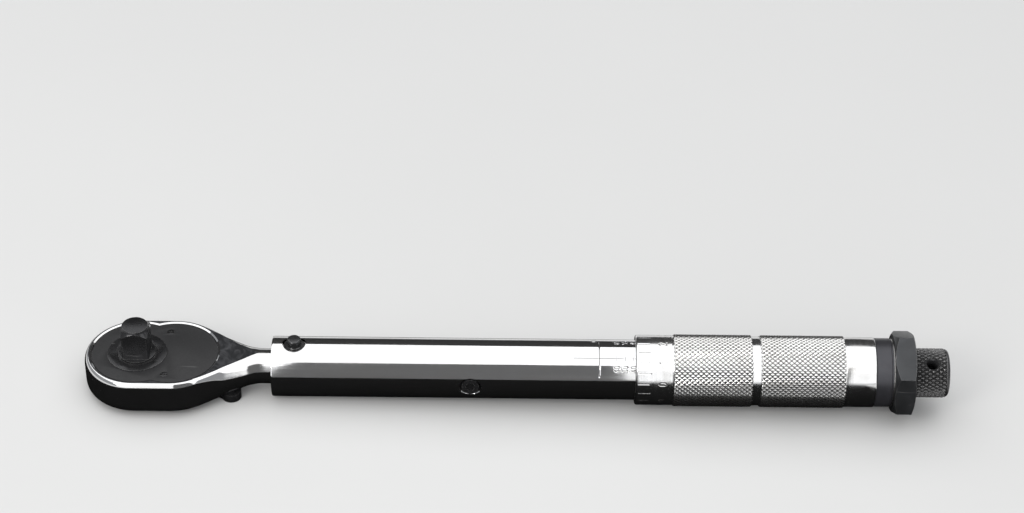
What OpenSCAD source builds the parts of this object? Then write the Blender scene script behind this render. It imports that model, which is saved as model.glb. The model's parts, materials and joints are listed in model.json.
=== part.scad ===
// Click-type micrometer torque wrench with a reversible ratchet head.
// The origin is the centre of the drive square's base. +X runs along the tube to the lock
// knob, +Z is the way the square points, and the tube's axis lies at z = axis_z.

/* [Drive] */
// Width across the flats of the drive square
square_w = 9.5; // [9:0.1:10]
// Height of the square above its flange
square_h = 12; // [10.5:0.1:13]
// Diameter of the flange around the square
flange_d = 20.8; // [20:0.1:22]
// Number of teeth on the ratchet gear
gear_teeth = 24; // [20:4:28]

/* [Ratchet head] */
// Radius of each of the two circles that make the cover plate
plate_r = 15.8; // [15.6:0.1:16.2]
// Distance between the centres of those circles
plate_shift = 12.3; // [12.2:0.1:13]
// Width of the rim around the cover plate
rim_w = 2.6; // [1.8:0.1:2.8]
// Thickness of the head
head_h = 12.4; // [12.2:0.1:13]
// Diameter of the neck that enters the tube
neck_d = 12.2; // [12:0.1:13]

/* [Tube] */
// Outside diameter of the tube
tube_d = 21; // [20.6:0.1:21]
// Wall thickness of the tube
tube_wall = 1.6; // [1.4:0.1:1.6]
// Distance from the drive axis to the tube's mouth
tube_start = 47.1; // [46.6:0.1:47.8]
// Distance from the drive axis to the tube's rear end
tube_end = 232.5; // [228:0.5:234]

/* [Handle] */
// Distance from the drive axis to the thimble's front edge at the lowest setting
sleeve_start = 173.7; // [173:0.1:175]
// Diameter of the thimble and of the plain collar
thimble_d = 24.4; // [24:0.1:24.8]
// Diameter over the knurled bands
knurl_d = 25.2; // [25:0.1:25.6]
// Width across the flats of the handle nut
nut_af = 27; // [24:0.5:27]
// Diameter of the lock knob
knob_d = 17.2; // [15:0.1:17.6]
// Diameter of the cross hole in the lock knob
tommy_d = 4.3; // [3:0.1:5]
// Angle of the cross hole above the horizontal
tommy_angle = 63; // [0:1:90]

/* [Hidden] */
$fn = 96;
eps = 1; // how far a cutting shape runs past the face it cuts
run = 0.05; // radial clearance of a running fit
fit_gap = 0.02; // radial gap between parts that are held together

// Tube and heights
axis_z = -5.75;
tube_r = tube_d / 2;
bore_r = tube_r - tube_wall;
slide_r = bore_r - run;
head_top = 0.15;
head_bottom = head_top - head_h;
plate_top = head_top - 0.35;
plate_bottom = head_top - 1.6;
cavity_floor = head_bottom + 2;

// Ratchet
head_r = plate_r + rim_w;
gear_r = 12.5;
tooth_depth = 1.3;
tooth_pitch = 360 / gear_teeth;
gear_top = plate_bottom - 0.1;
gear_bottom = cavity_floor + 0.1;
flange_r = flange_d / 2;
journal_r = 7;
boss_r = 6.5;
boss_h = 0.5;
groove_w = 0.8; // groove round the boss
turned_r = square_w / 2; // the round end of the square
corner_r = 6.3; // the square's corners are turned down to this
pocket_x = 16.6; // the pawl's pocket
pocket_r = 10.6;
pawl_x = 15.6;
pawl_pin_r = 1.25;
pawl_half = 7; // half the pawl's length
pawl_tilt = 7; // the pawl's angle either side of the middle
spindle_x = 23.5;
spindle_r = 3.2;
lever_angle = -30; // the lever's angle with the first end of the pawl in mesh
lever_reach = 14;
lever_t = 3;
lever_tip_r = 3.4;
plate_screw_x = 10.5;
plate_screw_y = 11.6;
detent_z = 7.2;
detent_r = 1.6;
detent_y = square_w / 2 + 0.6 - detent_r;

// Click mechanism, from front to rear
neck_end = 41.4;
neck_slope = 0.496; // how much the neck's cone widens for each millimetre forward
pivot_x = 54.9;
pivot_r = 2.5;
pivot_seat_r = 4.1; // the hole that the pivot screw's head sits in
block_len = 8;
block_w = 6;
pocket_depth = 1;
arm_end = 104.3;
block_start = arm_end - pocket_depth + 0.1;
plunger_start = block_start + block_len + 0.1 - pocket_depth;
plunger_end = 126;
guide_x = 116.4;
guide_r = 2.95;
dog_r = 2;
click_travel = 1.35; // how far the thrust plunger moves back in a click
washer_t = 1.5;
spring_start = plunger_end + washer_t;
spring_end = 159.5;
spring_d = 15;
spring_wire = 3;
seat_end = 167;
ball_r = 4;
ball_x = seat_end + 1.5;

// Handle, from front to rear
screw_start = ball_x + 1.5;
screw_r = 6;
screw_bore_r = 3.05;
fixed_nut_x = 206;
fixed_nut_len = 16;
set_screw_r = 2;
knurl_start = sleeve_start + 13.2;
groove_start = 214.4;
groove_end = 217.2;
collar_start = 246.7;
sleeve_wall_x = 248;
bush_start = 257.2;
nut_start = 263.6;
nut_end = 270.8;
knob_start = nut_end + 0.2;
knob_end = 283.2;
rod_start = 182;
rod_end = 258;
ring_x = sleeve_start + 5;

// Places children on the tube's axis with their own Z axis along X
module on_axis(x) {
    translate([x, 0, axis_z]) rotate([0, 90, 0]) children();
}

module rod(x0, x1, r) {
    on_axis(x0) cylinder(h = x1 - x0, r = r);
}

module ring(x0, x1, r_out, r_in) {
    difference() {
        rod(x0, x1, r_out);
        rod(x0 - eps, x1 + eps, r_in);
    }
}

// A solid turned about the tube's axis from points of [radius, x]
module turned(points) {
    on_axis(0) rotate_extrude() polygon(points);
}

module upright(x, y, z0, z1, r) {
    translate([x, y, z0]) cylinder(h = z1 - z0, r = r);
}

// The gear's outline, grown by clear
function gear_point(angle, r) = [r * cos(angle), r * sin(angle)];
function gear_outline(clear) = [for (i = [0 : gear_teeth - 1], k = [0 : 2])
    gear_point((i + [0.5, 0.92, 1.08][k]) * tooth_pitch,
        (k == 0 ? gear_r - tooth_depth : gear_r) + clear)];

// Half the profile of a disc with rounded edges
module rounded_half(r, h, edge) {
    square([r - edge, h]);
    translate([0, edge]) square([r, h - 2 * edge]);
    for (z = [edge, h - edge]) translate([r - edge, z]) circle(r = edge);
}

module head_body() {
    edge = 2.2;
    for (x = [0, plate_shift]) translate([x, 0, head_bottom])
        rotate_extrude() rounded_half(head_r, head_h, edge);
    for (side = [0, 1]) mirror([0, side, 0]) rotate([90, 0, 90])
        linear_extrude(plate_shift) translate([0, head_bottom]) rounded_half(head_r, head_h, edge);
    cone_start = 20;
    intersection() {
        turned([[0, cone_start], [neck_d / 2 + (neck_end - cone_start) * neck_slope, cone_start],
            [neck_d / 2, neck_end], [0, neck_end]]);
        translate([cone_start - eps, -head_r, head_bottom]) cube([40, 2 * head_r, head_h]);
    }
}

module lever_arm() {
    rod(neck_end - eps, pivot_x, neck_d / 2);
    rod(pivot_x, 97, 5);
    turned([[0, 96], [5, 96], [5.8, 98], [5.8, arm_end], [0, arm_end]]);
    upright(pivot_x, 0, axis_z - 5, axis_z + 5, 7);
}

module block_pocket(x, half) {
    translate([x, -half, axis_z - half]) cube([pocket_depth + eps, 2 * half, 2 * half]);
}

module tube() {
    color("silver") difference() {
        turned([[bore_r, tube_start + 0.5], [bore_r + 0.5, tube_start],
            [tube_r - 0.4, tube_start], [tube_r, tube_start + 0.4], [tube_r, tube_end],
            [bore_r, tube_end]]);
        upright(pivot_x, 0, axis_z, 10, pivot_seat_r);
        upright(pivot_x, 0, axis_z - 20, axis_z, pivot_r);
        translate([guide_x, 0, axis_z]) rotate([90, 0, 0]) {
            cylinder(h = 20, r = guide_r);
            translate([0, 0, tube_r - 0.9]) cylinder(h = 2, r1 = guide_r, r2 = guide_r + 2);
        }
        upright(fixed_nut_x + fixed_nut_len / 2, 0, axis_z - 20, axis_z + 20, set_screw_r);
    }
}

module pivot_screw() {
    color("black") difference() {
        union() {
            upright(pivot_x, 0, axis_z - tube_r + 0.3, axis_z + 7, pivot_r - run);
            upright(pivot_x, 0, axis_z + 6.9, axis_z + tube_r - 0.6, pivot_seat_r - run);
            translate([pivot_x, 0, axis_z + tube_r]) rotate_extrude() {
                translate([0, -1]) square([2.45, 2.4]);
                square([1.85, 2]);
                intersection() {
                    translate([1.85, 1.4]) circle(r = 0.6);
                    translate([1.85, 0]) square([1, 3]);
                }
            }
        }
        translate([pivot_x - 3, -0.4, axis_z + tube_r + 1.5]) cube([6, 0.8, 2]);
    }
}

module guide_screw() {
    color("black") translate([guide_x, 0, axis_z]) rotate([90, 0, 0]) difference() {
        union() {
            translate([0, 0, bore_r + run]) cylinder(h = tube_wall - 0.3, r = guide_r - fit_gap);
            translate([0, 0, 5.4]) cylinder(h = bore_r - 5.2, r = dog_r);
        }
        translate([0, 0, bore_r + 0.4]) cylinder(h = 3, r = 1.75, $fn = 6);
    }
}

module fixed_nut() {
    color("dimgray") difference() {
        ring(fixed_nut_x, fixed_nut_x + fixed_nut_len, bore_r, screw_r + run);
        upright(fixed_nut_x + fixed_nut_len / 2, 0, axis_z - 20, axis_z + 20, set_screw_r);
    }
}

module nut_set_screws() {
    color("black") for (side = [0, 180])
        translate([fixed_nut_x + fixed_nut_len / 2, 0, axis_z]) rotate([side, 0, 0]) difference() {
            translate([0, 0, screw_r + 0.5])
                cylinder(h = tube_r - screw_r - 0.8, r = set_screw_r - fit_gap);
            translate([0, 0, tube_r - 1.8]) cylinder(h = 3, r = 1.1, $fn = 6);
        }
}

module ratchet_head() {
    color("silver") difference() {
        union() {
            head_body();
            lever_arm();
        }
        for (x = [0, plate_shift]) upright(x, 0, plate_bottom, 5, plate_r + run);
        upright(0, 0, cavity_floor, 0, gear_r + 0.4);
        upright(pocket_x, 0, cavity_floor, 0, pocket_r);
        upright(spindle_x, 0, cavity_floor, 0, 4.4);
        upright(0, 0, head_bottom - eps, 0, journal_r + run);
        upright(spindle_x, 0, head_bottom - eps, 0, spindle_r + run);
        upright(pawl_x, 0, cavity_floor - 1.2, 0, pawl_pin_r);
        for (side = [-1, 1]) upright(plate_screw_x, side * plate_screw_y, plate_bottom - 6, 0, 0.8);
        upright(pivot_x, 0, axis_z - 20, axis_z + 20, 3.6);
        block_pocket(arm_end - pocket_depth, block_w / 2 + 0.35);
    }
}

module pivot_bush() {
    color("goldenrod") difference() {
        upright(pivot_x, 0, axis_z - 5, axis_z + 5, 3.6);
        upright(pivot_x, 0, axis_z - 6, axis_z + 6, pivot_r);
    }
}

module cover_plate() {
    color("dimgray") difference() {
        for (x = [0, plate_shift]) upright(x, 0, plate_bottom, plate_top, plate_r);
        upright(0, 0, plate_bottom - eps, plate_top + eps, flange_r + run);
        for (side = [-1, 1]) translate([plate_screw_x, side * plate_screw_y, 0]) {
            upright(0, 0, plate_bottom - eps, 0, 0.8);
            upright(0, 0, plate_top - 0.9, 0, 1.3);
        }
    }
}

module cover_screws() {
    color("black") for (side = [-1, 1])
        translate([plate_screw_x, side * plate_screw_y, 0]) difference() {
            union() {
                upright(0, 0, plate_bottom - 5, plate_top - 0.8, 0.8);
                upright(0, 0, plate_top - 0.9, plate_top - 0.2, 1.25);
            }
            translate([-2, -0.2, plate_top - 0.6]) cube([4, 0.4, 1]);
        }
}

module pawl_pin() {
    color("silver") upright(pawl_x, 0, cavity_floor - 1.2, plate_bottom, pawl_pin_r);
}

module drive_gear() {
    color("dimgray") difference() {
        union() {
            translate([0, 0, gear_bottom]) linear_extrude(gear_top - gear_bottom)
                polygon(gear_outline(0));
            upright(0, 0, head_bottom + 0.3, gear_bottom, journal_r);
            upright(0, 0, gear_top, 0, flange_r);
            upright(0, 0, 0, boss_h, boss_r);
            intersection() {
                translate([-square_w / 2, -square_w / 2, -1]) cube([square_w, square_w, square_h + 1]);
                rotate_extrude() polygon([[0, -1], [corner_r, -1], [corner_r, square_h - 2.2],
                    [turned_r, square_h - 0.8], [turned_r - 0.3, square_h], [0, square_h]]);
            }
        }
        difference() {
            upright(0, 0, -0.3, 1, boss_r + groove_w);
            upright(0, 0, -1, 2, boss_r);
        }
        translate([0, 0, detent_z]) rotate([-90, 0, 0]) cylinder(h = square_w, r = detent_r + run);
    }
}

module detent_spring() {
    color("silver") translate([0, 0.1, detent_z]) rotate([-90, 0, 0]) difference() {
        cylinder(h = detent_y - detent_r - 0.1, r = 1.4);
        translate([0, 0, -eps]) cylinder(h = 10, r = 0.9);
    }
}

module detent_ball() {
    color("silver") translate([0, detent_y, detent_z]) sphere(r = detent_r);
}

// Places children in the lever's spindle with +Z along the pawl plunger
module along_plunger() {
    plunger_z = (gear_top + gear_bottom) / 2;
    translate([spindle_x, 0, plunger_z]) rotate([0, 90, 180 + lever_angle]) children();
}

module reverse_lever() {
    lever_top = head_bottom - 0.2;
    color("dimgray") difference() {
        union() {
            upright(spindle_x, 0, lever_top, gear_top - 0.3, spindle_r);
            upright(spindle_x, 0, lever_top - lever_t, lever_top, 6);
            translate([spindle_x, 0, lever_top - lever_t]) rotate(lever_angle) {
                translate([0, -2.8, 0]) cube([lever_reach - lever_tip_r, 5.6, lever_t]);
                translate([lever_reach - lever_tip_r, 0, 0]) cylinder(h = lever_t, r = lever_tip_r);
            }
        }
        along_plunger() translate([0, 0, -2.2]) cylinder(h = 8, r = 1);
        difference() {
            upright(spindle_x, 0, gear_top - 1.6, gear_top - 0.9, 4);
            upright(spindle_x, 0, gear_top - 2, gear_top, 2.6);
        }
    }
}

module lever_clip() {
    color("silver") difference() {
        upright(spindle_x, 0, gear_top - 1.55, gear_top - 0.95, 4.2);
        upright(spindle_x, 0, gear_top - 2, gear_top, 2.65);
        translate([spindle_x, -1, gear_top - 2]) cube([6, 2, 2]);
    }
}

module plunger_spring() {
    color("silver") along_plunger() translate([0, 0, -2.2]) difference() {
        cylinder(h = 3.3, r = 0.9);
        translate([0, 0, -eps]) cylinder(h = 6, r = 0.5);
    }
}

module pawl_plunger() {
    color("silver") along_plunger() {
        translate([0, 0, 1.2]) cylinder(h = 2.9, r = 0.95);
        translate([0, 0, 4.1]) sphere(r = 0.95);
    }
}

// Turns children about the pawl's pin
module about_pawl_pin(angle) {
    translate([pawl_x, 0]) rotate(angle) translate([-pawl_x, 0]) children();
}

module pawl_blank() {
    back = 2.6;
    back_end = back + 0.38 * pawl_half;
    polygon([[pawl_x - 5.4, -pawl_half], [pawl_x + back_end, -pawl_half], [pawl_x + back, 0],
        [pawl_x + back_end, pawl_half], [pawl_x - 5.4, pawl_half]]);
}

module pawl() {
    color("dimgray") translate([0, 0, gear_bottom + 0.1]) about_pawl_pin(pawl_tilt)
        linear_extrude(gear_top - gear_bottom - 0.2) difference() {
            pawl_blank();
            circle(r = gear_r + 0.06);
            for (side = [-1, 1]) about_pawl_pin(side * pawl_tilt) polygon(gear_outline(0.05));
            translate([pawl_x, 0]) circle(r = pawl_pin_r + run);
        }
}

module tilt_block() {
    color("dimgray") translate([block_start, -block_w / 2, axis_z - block_w / 2])
        cube([block_len, block_w, block_w]);
}

module thrust_plunger() {
    slot_front = guide_x - dog_r - click_travel - 0.4;
    slot_len = 2 * dog_r + click_travel + 0.8;
    color("silver") difference() {
        union() {
            turned([[0, plunger_start], [6, plunger_start], [slide_r, plunger_start + 1.5],
                [slide_r, plunger_end], [0, plunger_end]]);
            rod(plunger_end - eps, plunger_end + 6, 4.2);
        }
        translate([plunger_start - eps, -block_w / 2 - 0.35, axis_z - block_w / 2 - 0.35])
            cube([pocket_depth + eps, block_w + 0.7, block_w + 0.7]);
        translate([slot_front, -bore_r - eps, axis_z - dog_r - 0.1])
            cube([slot_len, bore_r + eps - 5, 2 * dog_r + 0.2]);
    }
}

module spring_washer() {
    color("dimgray") ring(plunger_end, spring_start, spring_d / 2, 4.3);
}

module main_spring() {
    color("steelblue") ring(spring_start, spring_end, spring_d / 2, spring_d / 2 - spring_wire);
}

module spring_seat() {
    color("silver") difference() {
        union() {
            rod(spring_end, seat_end, slide_r);
            rod(spring_end - 6, spring_end + eps, 4.2);
        }
        on_axis(ball_x) sphere(r = ball_r + 0.02);
    }
}

module thrust_ball() {
    color("silver") on_axis(ball_x) sphere(r = ball_r);
}

module adjusting_screw() {
    color("dimgray") difference() {
        rod(screw_start, nut_end, screw_r);
        on_axis(ball_x) sphere(r = ball_r + 0.05);
        rod(rod_start - 2, nut_end + eps, screw_bore_r);
    }
}

module handle_sleeve() {
    sleeve_bore = tube_r + 0.08;
    thimble_r = thimble_d / 2;
    knurl_r = knurl_d / 2;
    bevel = 0.6;
    color("silver") difference() {
        turned([[sleeve_bore, sleeve_start], [thimble_r - bevel, sleeve_start],
            [thimble_r, sleeve_start + bevel], [thimble_r, knurl_start - 0.4],
            [thimble_r - 0.4, knurl_start], [knurl_r - 0.3, knurl_start],
            [knurl_r, knurl_start + 0.3], [knurl_r, groove_start], [thimble_r - 0.2, groove_start],
            [thimble_r - 0.2, groove_end], [knurl_r, groove_end], [knurl_r, collar_start - 0.3],
            [knurl_r - 0.3, collar_start], [thimble_r, collar_start], [thimble_r, bush_start],
            [screw_r + fit_gap, bush_start], [screw_r + fit_gap, sleeve_wall_x],
            [sleeve_bore, sleeve_wall_x]]);
        ring(ring_x, ring_x + 1.6, tube_r + 0.9, tube_r - 1);
    }
}

module friction_ring() {
    color("black") ring(ring_x, ring_x + 1.6, tube_r + 0.9, tube_r + 0.03);
}

module end_bush() {
    bush_r = thimble_d / 2 - 0.2;
    color("black") turned([[screw_r + fit_gap, bush_start], [bush_r, bush_start],
        [bush_r, nut_start - 0.8], [bush_r - 0.8, nut_start], [screw_r + fit_gap, nut_start]]);
}

module handle_nut() {
    nut_r = nut_af / 2 / cos(30);
    front_chamfer = 1.5;
    rear_chamfer = 0.8;
    color("dimgray") difference() {
        intersection() {
            on_axis(nut_start) cylinder(h = nut_end - nut_start, r = nut_r, $fn = 6);
            turned([[0, nut_start], [nut_af / 2, nut_start], [nut_r, nut_start + front_chamfer],
                [nut_r, nut_end - rear_chamfer], [nut_af / 2, nut_end], [0, nut_end]]);
        }
        rod(nut_start - eps, nut_end + eps, screw_r + fit_gap);
    }
}

module lock_rod() {
    color("silver") rod(rod_start, rod_end, screw_bore_r - run);
}

module lock_knob() {
    knob_r = knob_d / 2;
    round_r = 1.2;
    color("black") difference() {
        union() {
            rod(rod_end, knob_start + eps, screw_bore_r - run);
            rod(knob_start, knob_end - round_r, knob_r);
            on_axis(knob_end - round_r) rotate_extrude() intersection() {
                union() {
                    square([knob_r - round_r, round_r]);
                    translate([knob_r - round_r, 0]) circle(r = round_r);
                }
                square([knob_r, round_r]);
            }
        }
        translate([(knob_start + knob_end) / 2, 0, axis_z]) rotate([90 - tommy_angle, 0, 0])
            translate([0, 0, -knob_d]) cylinder(h = 2 * knob_d, r = tommy_d / 2);
    }
}

tube();
pivot_screw();
guide_screw();
fixed_nut();
nut_set_screws();
ratchet_head();
pivot_bush();
cover_plate();
cover_screws();
pawl_pin();
drive_gear();
detent_spring();
detent_ball();
reverse_lever();
lever_clip();
plunger_spring();
pawl_plunger();
pawl();
tilt_block();
thrust_plunger();
spring_washer();
main_spring();
spring_seat();
thrust_ball();
adjusting_screw();
handle_sleeve();
friction_ring();
end_bush();
handle_nut();
lock_rod();
lock_knob();
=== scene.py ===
"""Looks of a click-type torque wrench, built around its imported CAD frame."""

import json
import math

import bmesh
import bpy
import numpy as np
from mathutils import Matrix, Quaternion, Vector


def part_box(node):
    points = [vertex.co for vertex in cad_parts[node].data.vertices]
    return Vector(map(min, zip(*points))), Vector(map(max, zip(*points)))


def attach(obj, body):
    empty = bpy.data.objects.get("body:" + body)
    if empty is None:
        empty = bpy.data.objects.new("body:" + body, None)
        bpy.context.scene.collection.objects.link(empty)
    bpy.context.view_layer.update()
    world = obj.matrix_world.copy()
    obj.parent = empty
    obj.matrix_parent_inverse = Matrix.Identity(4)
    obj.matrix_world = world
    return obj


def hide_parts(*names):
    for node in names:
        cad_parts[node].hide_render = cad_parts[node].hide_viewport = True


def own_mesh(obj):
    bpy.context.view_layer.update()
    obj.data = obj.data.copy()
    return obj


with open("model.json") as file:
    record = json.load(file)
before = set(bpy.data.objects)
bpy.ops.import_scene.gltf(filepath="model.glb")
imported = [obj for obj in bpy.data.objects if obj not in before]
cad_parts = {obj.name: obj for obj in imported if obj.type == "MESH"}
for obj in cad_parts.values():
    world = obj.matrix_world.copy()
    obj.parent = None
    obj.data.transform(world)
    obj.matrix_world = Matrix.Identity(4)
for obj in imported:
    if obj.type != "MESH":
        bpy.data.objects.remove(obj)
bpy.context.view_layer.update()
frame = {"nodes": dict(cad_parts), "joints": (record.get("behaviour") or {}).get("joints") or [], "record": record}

MM = 0.001
TURN = 2 * math.pi


def low(node):
    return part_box(node)[0]


def high(node):
    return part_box(node)[1]


def centre_of(node, axis):
    """The middle of a node's box along axis 0, 1 or 2."""
    return (low(node)[axis] + high(node)[axis]) / 2


def joint_row(name):
    return next(j for j in frame["joints"] if j["name"] == name)


# Places and radii read from the frame, in metres
AXIS_Z = centre_of("tube", 2)
TUBE_R = (high("tube").y - low("tube").y) / 2
TUBE_X = (low("tube").x, high("tube").x)
PIVOT_X = centre_of("pivot_bush", 0)
GUIDE_X = centre_of("guide_screw", 0)
SPINDLE_X = centre_of("lever_clip", 0)
PLATE_TOP = high("cover_plate").z
HEAD_TOP = PLATE_TOP + 0.35 * MM  # the plate lies a little below the rim
PLATE_BOTTOM = low("cover_plate").z
PLATE_R = (high("cover_plate").y - low("cover_plate").y) / 2
PLATE_SHIFT = high("cover_plate").x - PLATE_R
HEAD_R = (high("ratchet_head").y - low("ratchet_head").y) / 2
HEAD_BOTTOM = low("reverse_lever").z + 3.2 * MM  # above the lever and its gap
HEAD_END = high("ratchet_head").x
SLEEVE_X = (low("handle_sleeve").x, high("handle_sleeve").x)
KNURL_R = (high("handle_sleeve").y - low("handle_sleeve").y) / 2
KNOB_END = high("lock_knob").x
KNOB_START = high("handle_nut").x + 0.2 * MM
KNOB_R = (high("lock_knob").y - low("lock_knob").y) / 2


# ---------------------------------------------------------------- materials


class Shader:
    """A material's node tree with a Principled shader and short ways to add nodes."""

    def __init__(self, name, color, metallic, roughness):
        self.material = bpy.data.materials.new(name)
        self.material.use_nodes = True
        self.tree = self.material.node_tree
        self.bsdf = self.tree.nodes["Principled BSDF"]
        self.material.diffuse_color = (*color, 1)
        self.set("Base Color", (*color, 1))
        self.set("Metallic", metallic)
        self.set("Roughness", roughness)
        self.coords = self.tree.nodes.new("ShaderNodeTexCoord").outputs["Object"]

    def set(self, socket, value):
        self.bsdf.inputs[socket].default_value = value

    def link(self, out, socket):
        self.tree.links.new(out, self.bsdf.inputs[socket] if isinstance(socket, str) else socket)

    def noise(self, scale, stretch=(1, 1, 1), detail=4, distortion=0.0):
        """Noise with scale features per metre along each axis, times stretch."""
        mapping = self.tree.nodes.new("ShaderNodeMapping")
        mapping.inputs["Scale"].default_value = stretch
        node = self.tree.nodes.new("ShaderNodeTexNoise")
        node.inputs["Scale"].default_value = scale
        node.inputs["Detail"].default_value = detail
        node.inputs["Distortion"].default_value = distortion
        self.link(self.coords, mapping.inputs["Vector"])
        self.link(mapping.outputs["Vector"], node.inputs["Vector"])
        return node.outputs["Fac"]

    def spread(self, value, start, end, to_low, to_high):
        """Maps value from start..end to to_low..to_high, clamped."""
        node = self.tree.nodes.new("ShaderNodeMapRange")
        for socket, number in zip(("From Min", "From Max", "To Min", "To Max"),
                                  (start, end, to_low, to_high)):
            node.inputs[socket].default_value = number
        self.link(value, node.inputs["Value"])
        return node.outputs["Result"]

    def mix(self, amount, a, b):
        """Mixes two colours, each a tuple or a node's output."""
        node = self.tree.nodes.new("ShaderNodeMix")
        node.data_type = "RGBA"
        self.link(amount, node.inputs[0])
        for socket, value in ((node.inputs[6], a), (node.inputs[7], b)):
            if isinstance(value, tuple):
                socket.default_value = (*value, 1)
            else:
                self.link(value, socket)
        return node.outputs[2]

    def math(self, operation, a, b):
        node = self.tree.nodes.new("ShaderNodeMath")
        node.operation = operation
        for socket, value in zip(node.inputs, (a, b)):
            if isinstance(value, (int, float)):
                socket.default_value = value
            else:
                self.link(value, socket)
        return node.outputs[0]

    def edges(self, radius):
        """0 on faces, rising to 1 on convex and concave edges within radius."""
        bevel = self.tree.nodes.new("ShaderNodeBevel")
        bevel.samples = 4
        bevel.inputs["Radius"].default_value = radius
        geometry = self.tree.nodes.new("ShaderNodeNewGeometry")
        dot = self.tree.nodes.new("ShaderNodeVectorMath")
        dot.operation = "DOT_PRODUCT"
        self.link(bevel.outputs["Normal"], dot.inputs[0])
        self.link(geometry.outputs["Normal"], dot.inputs[1])
        return self.spread(dot.outputs["Value"], 0.995, 0.85, 0.0, 1.0)

    def bump(self, height, distance, strength=1.0):
        node = self.tree.nodes.new("ShaderNodeBump")
        node.inputs["Distance"].default_value = distance
        node.inputs["Strength"].default_value = strength
        self.link(height, node.inputs["Height"])
        self.link(node.outputs["Normal"], "Normal")


def polished_chrome():
    s = Shader("polished_chrome", (0.80, 0.80, 0.81), 1.0, 0.07)
    smudge = s.noise(38, detail=5, distortion=0.6)
    streak = s.noise(900, stretch=(0.02, 1, 1), detail=3)
    s.link(s.mix(s.spread(smudge, 0.35, 0.7, 0, 1), (0.84, 0.84, 0.85), (0.74, 0.735, 0.725)),
           "Base Color")
    s.link(s.math("ADD", s.spread(smudge, 0.4, 0.75, 0.045, 0.13),
                  s.spread(streak, 0.55, 0.8, 0.0, 0.07)), "Roughness")
    s.bump(s.math("ADD", s.noise(160, detail=2), s.math("MULTIPLY", streak, 0.4)), 0.000012)
    return s.material


def ground_chrome():
    """Chrome over a turned surface: a little duller, with fine rings round the axis."""
    s = Shader("ground_chrome", (0.82, 0.82, 0.82), 1.0, 0.2)
    rings = s.noise(2600, stretch=(1, 0.02, 0.02), detail=3)
    grime = s.noise(90, detail=6, distortion=0.4)
    s.link(s.mix(s.spread(grime, 0.45, 0.75, 0, 1), (0.86, 0.86, 0.86), (0.66, 0.65, 0.635)),
           "Base Color")
    s.link(s.math("ADD", s.spread(rings, 0.3, 0.7, 0.1, 0.2), s.spread(grime, 0.4, 0.8, 0, 0.1)),
           "Roughness")
    s.bump(rings, 0.000006)
    return s.material


def knurl_chrome():
    """Satin chrome of the knurled bands; their grooves take a painted shade material of their own."""
    s = Shader("knurl_chrome", (0.88, 0.88, 0.87), 1.0, 0.2)
    grime = s.noise(60, detail=6)
    fine = s.noise(1800, detail=3)
    s.link(s.mix(s.spread(grime, 0.35, 0.75, 0, 1), (0.93, 0.93, 0.92), (0.82, 0.81, 0.79)),
           "Base Color")
    s.link(s.spread(fine, 0.25, 0.75, 0.13, 0.24), "Roughness")
    s.bump(fine, 0.00001)
    return s.material


def groove_dirt():
    """Painted shade at the bottom of the stamped marks, where the grooves' shade falls."""
    s = Shader("groove_dirt", (0.05, 0.045, 0.042), 0.3, 0.6)
    grain = s.noise(900, detail=5)
    s.link(s.mix(s.spread(grain, 0.3, 0.7, 0, 1), (0.035, 0.032, 0.03), (0.13, 0.12, 0.115)),
           "Base Color")
    s.link(s.spread(grain, 0.3, 0.7, 0.45, 0.75), "Roughness")
    return s.material


def black_oxide(name="black_oxide", base=(0.045, 0.045, 0.047), roughness=0.28, wear=0.6):
    """Blackened steel: mottled, satin, worn to bright steel along its edges."""
    s = Shader(name, base, 0.75, roughness)
    mottle = s.noise(140, detail=6, distortion=0.3)
    speck = s.noise(1500, detail=4)
    scratch = s.noise(500, stretch=(0.15, 1.4, 1), detail=2, distortion=1.2)
    tone = s.mix(s.spread(mottle, 0.3, 0.7, 0, 1), tuple(0.85 * c for c in base),
                 tuple(1.2 * c for c in base))
    edge = s.math("MULTIPLY", s.edges(0.00028), s.spread(speck, 0.38, 0.6, 0.15, wear))
    fine = s.math("MULTIPLY", s.spread(scratch, 0.7, 0.76, 0, 1), 0.35)
    s.link(s.mix(s.math("MAXIMUM", edge, fine), tone, (0.42, 0.415, 0.41)), "Base Color")
    s.link(s.math("ADD", s.spread(mottle, 0.3, 0.7, roughness - 0.07, roughness + 0.07),
                  s.spread(speck, 0.3, 0.7, -0.04, 0.04)), "Roughness")
    s.bump(s.math("ADD", speck, s.math("MULTIPLY", scratch, -0.6)), 0.00002)
    return s.material


def cast_black():
    """Rough cast web behind the cover plate, blotchy; its near-black colour is a painted dark reflection."""
    s = Shader("cast_black", (0.03, 0.031, 0.034), 0.2, 0.6)
    blotch = s.noise(260, stretch=(1, 0.7, 1), detail=7, distortion=1.5)
    pits = s.noise(900, detail=5)
    s.link(s.mix(s.spread(blotch, 0.45, 0.75, 0, 1), (0.006, 0.007, 0.009), (0.05, 0.051, 0.056)),
           "Base Color")
    s.link(s.spread(blotch, 0.3, 0.7, 0.75, 0.5), "Roughness")
    s.bump(s.math("ADD", blotch, s.math("MULTIPLY", pits, 0.5)), 0.00022)
    return s.material


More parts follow.
